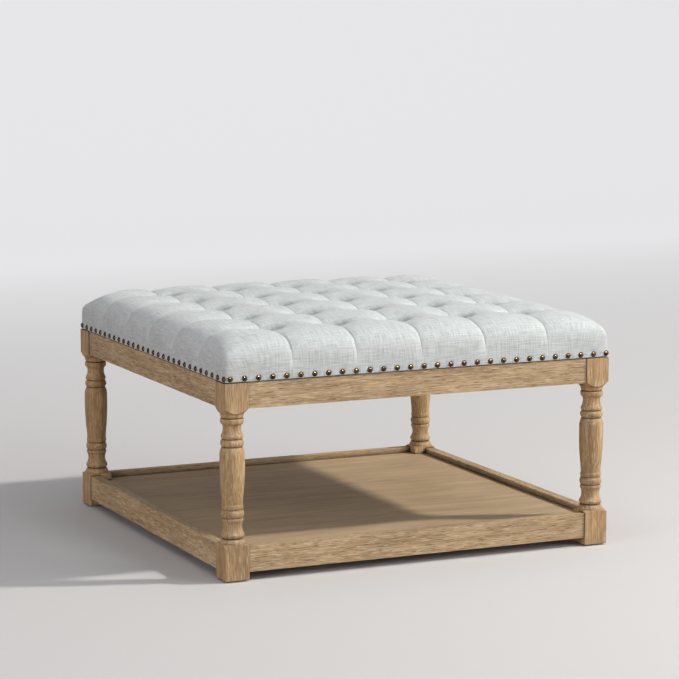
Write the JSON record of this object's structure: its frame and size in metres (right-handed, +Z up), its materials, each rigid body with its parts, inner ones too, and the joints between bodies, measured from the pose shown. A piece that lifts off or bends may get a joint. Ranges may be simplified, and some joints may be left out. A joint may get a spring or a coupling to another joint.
{
  "type": "ottoman coffee table",
  "caption": "Square ottoman coffee table: tufted fabric seat with nailhead trim on turned wooden legs, aprons and a low recessed shelf.",
  "frame": {"origin": "on the floor, under the centre of the table", "axes": "+X runs right along the front, +Y from the front to the back, +Z up"},
  "size_m": [0.8052, 0.8052, 0.4636],
  "materials": {
    "oak": "matte",
    "shelf_veneer": "matte",
    "birch_ply": "matte",
    "hardwood_dowel": "matte",
    "linen": "matte",
    "foam": "matte",
    "cambric": "matte",
    "twine": "matte",
    "nail_brass": "satin",
    "zinc_steel": "satin",
    "nylon": "matte"
  },
  "bodies": {
    "root": {"apron_back": "oak", "apron_dowels": "hardwood_dowel", "apron_front": "oak", "apron_left": "oak", "apron_right": "oak", "brace_nuts": "zinc_steel", "brace_washers": "zinc_steel", "cleat_screws": "zinc_steel", "corner_brace_back_left": "oak", "corner_brace_back_right": "oak", "corner_brace_front_left": "oak", "corner_brace_front_right": "oak", "deck_screws": "zinc_steel", "dust_cover": "cambric", "foam_core": "foam", "foot_glides": "nylon", "hanger_bolts": "zinc_steel", "leg_back_left": "oak", "leg_back_right": "oak", "leg_front_left": "oak", "leg_front_right": "oak", "nails_back": "nail_brass", "nails_front": "nail_brass", "nails_left": "nail_brass", "nails_right": "nail_brass", "panel_screws": "zinc_steel", "seat_cover": "linen", "seat_deck": "birch_ply", "shelf_cleat_back": "oak", "shelf_cleat_front": "oak", "shelf_cleat_left": "oak", "shelf_cleat_right": "oak", "shelf_panel": "shelf_veneer", "shelf_rail_back": "oak", "shelf_rail_dowels": "hardwood_dowel", "shelf_rail_front": "oak", "shelf_rail_left": "oak", "shelf_rail_right": "oak", "tufting_twine": "twine", "twine_anchors": "nylon"}
  },
  "joints": []
}
